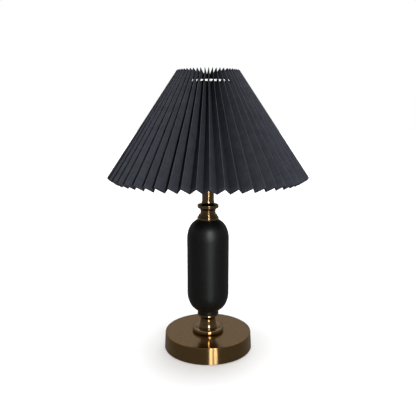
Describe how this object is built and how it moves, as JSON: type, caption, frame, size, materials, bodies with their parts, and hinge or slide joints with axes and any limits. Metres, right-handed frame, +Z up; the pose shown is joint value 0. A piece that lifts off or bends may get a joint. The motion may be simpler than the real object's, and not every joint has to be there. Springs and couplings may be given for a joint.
{
  "type": "table lamp",
  "caption": "Table lamp with a pleated conical shade on a satin black capsule column, brass ferrules and a round disc base.",
  "frame": {"origin": "centre of the base's underside, on the table", "axes": "+Z up along the column, -Y towards the front, +Y towards the flex inlet"},
  "size_m": [0.3062, 0.3062, 0.4368],
  "materials": {
    "antique_brass": "brushed antique, clear lacquer",
    "black_capsule": "satin black",
    "shade_fabric": "matt woven, folded crisp",
    "white_wire": "white enamel",
    "cast_weight": "rough cast",
    "felt": "felt",
    "bush_plastic": "moulded",
    "zinc_steel": "zinc plated",
    "holder_plastic": "moulded thermoset",
    "holder_insulator": "unglazed",
    "contact_brass": "bare",
    "bulb_nickel": "nickel plated",
    "bulb_glass": "black cap insulator",
    "bulb_plastic": "satin white",
    "bulb_diffuser": "opal"
  },
  "bodies": {
    "stand": {"felt_pad": "felt", "base_weight": "cast_weight", "base_cover": "antique_brass", "inlet_bush": "bush_plastic", "rod_nut": "zinc_steel", "rod_washer": "zinc_steel", "threaded_rod": "zinc_steel", "lower_ferrule": "antique_brass", "capsule_body": "black_capsule", "upper_ferrule": "antique_brass", "neck_cup": "antique_brass", "neck_tube": "antique_brass", "tube_cap": "antique_brass", "holder_cap": "holder_plastic", "grub_screw": "zinc_steel", "holder_skirt": "holder_plastic", "terminal_block": "holder_insulator", "terminal_screws": "contact_brass", "live_contact": "contact_brass", "screw_shell": "contact_brass"},
    "shade": {"fitter_hub": "white_wire", "fitter_ring": "white_wire", "fitter_spokes": "white_wire", "pleated_shade": "shade_fabric"},
    "shade_nut": {"shade_ring": "holder_plastic"},
    "bulb": {"bulb_contact": "contact_brass", "bulb_insulator": "bulb_glass", "bulb_cap": "bulb_nickel", "bulb_housing": "bulb_plastic", "bulb_globe": "bulb_diffuser"}
  },
  "joints": [
    {"name": "shade_turn", "type": "hinge", "parent": "stand", "child": "shade", "pos_m": [0, 0, 0.31], "axis": [0, 0, 1], "continuous": true},
    {"name": "shade_ring_screw", "type": "hinge", "parent": "stand", "child": "shade_nut", "pos_m": [0, 0, 0.314], "axis": [0, 0, 1], "range_deg": [0, 720]},
    {"name": "bulb_screw", "type": "hinge", "parent": "stand", "child": "bulb", "pos_m": [0, 0, 0.325], "axis": [0, 0, 1], "range_deg": [0, 1080]}
  ]
}
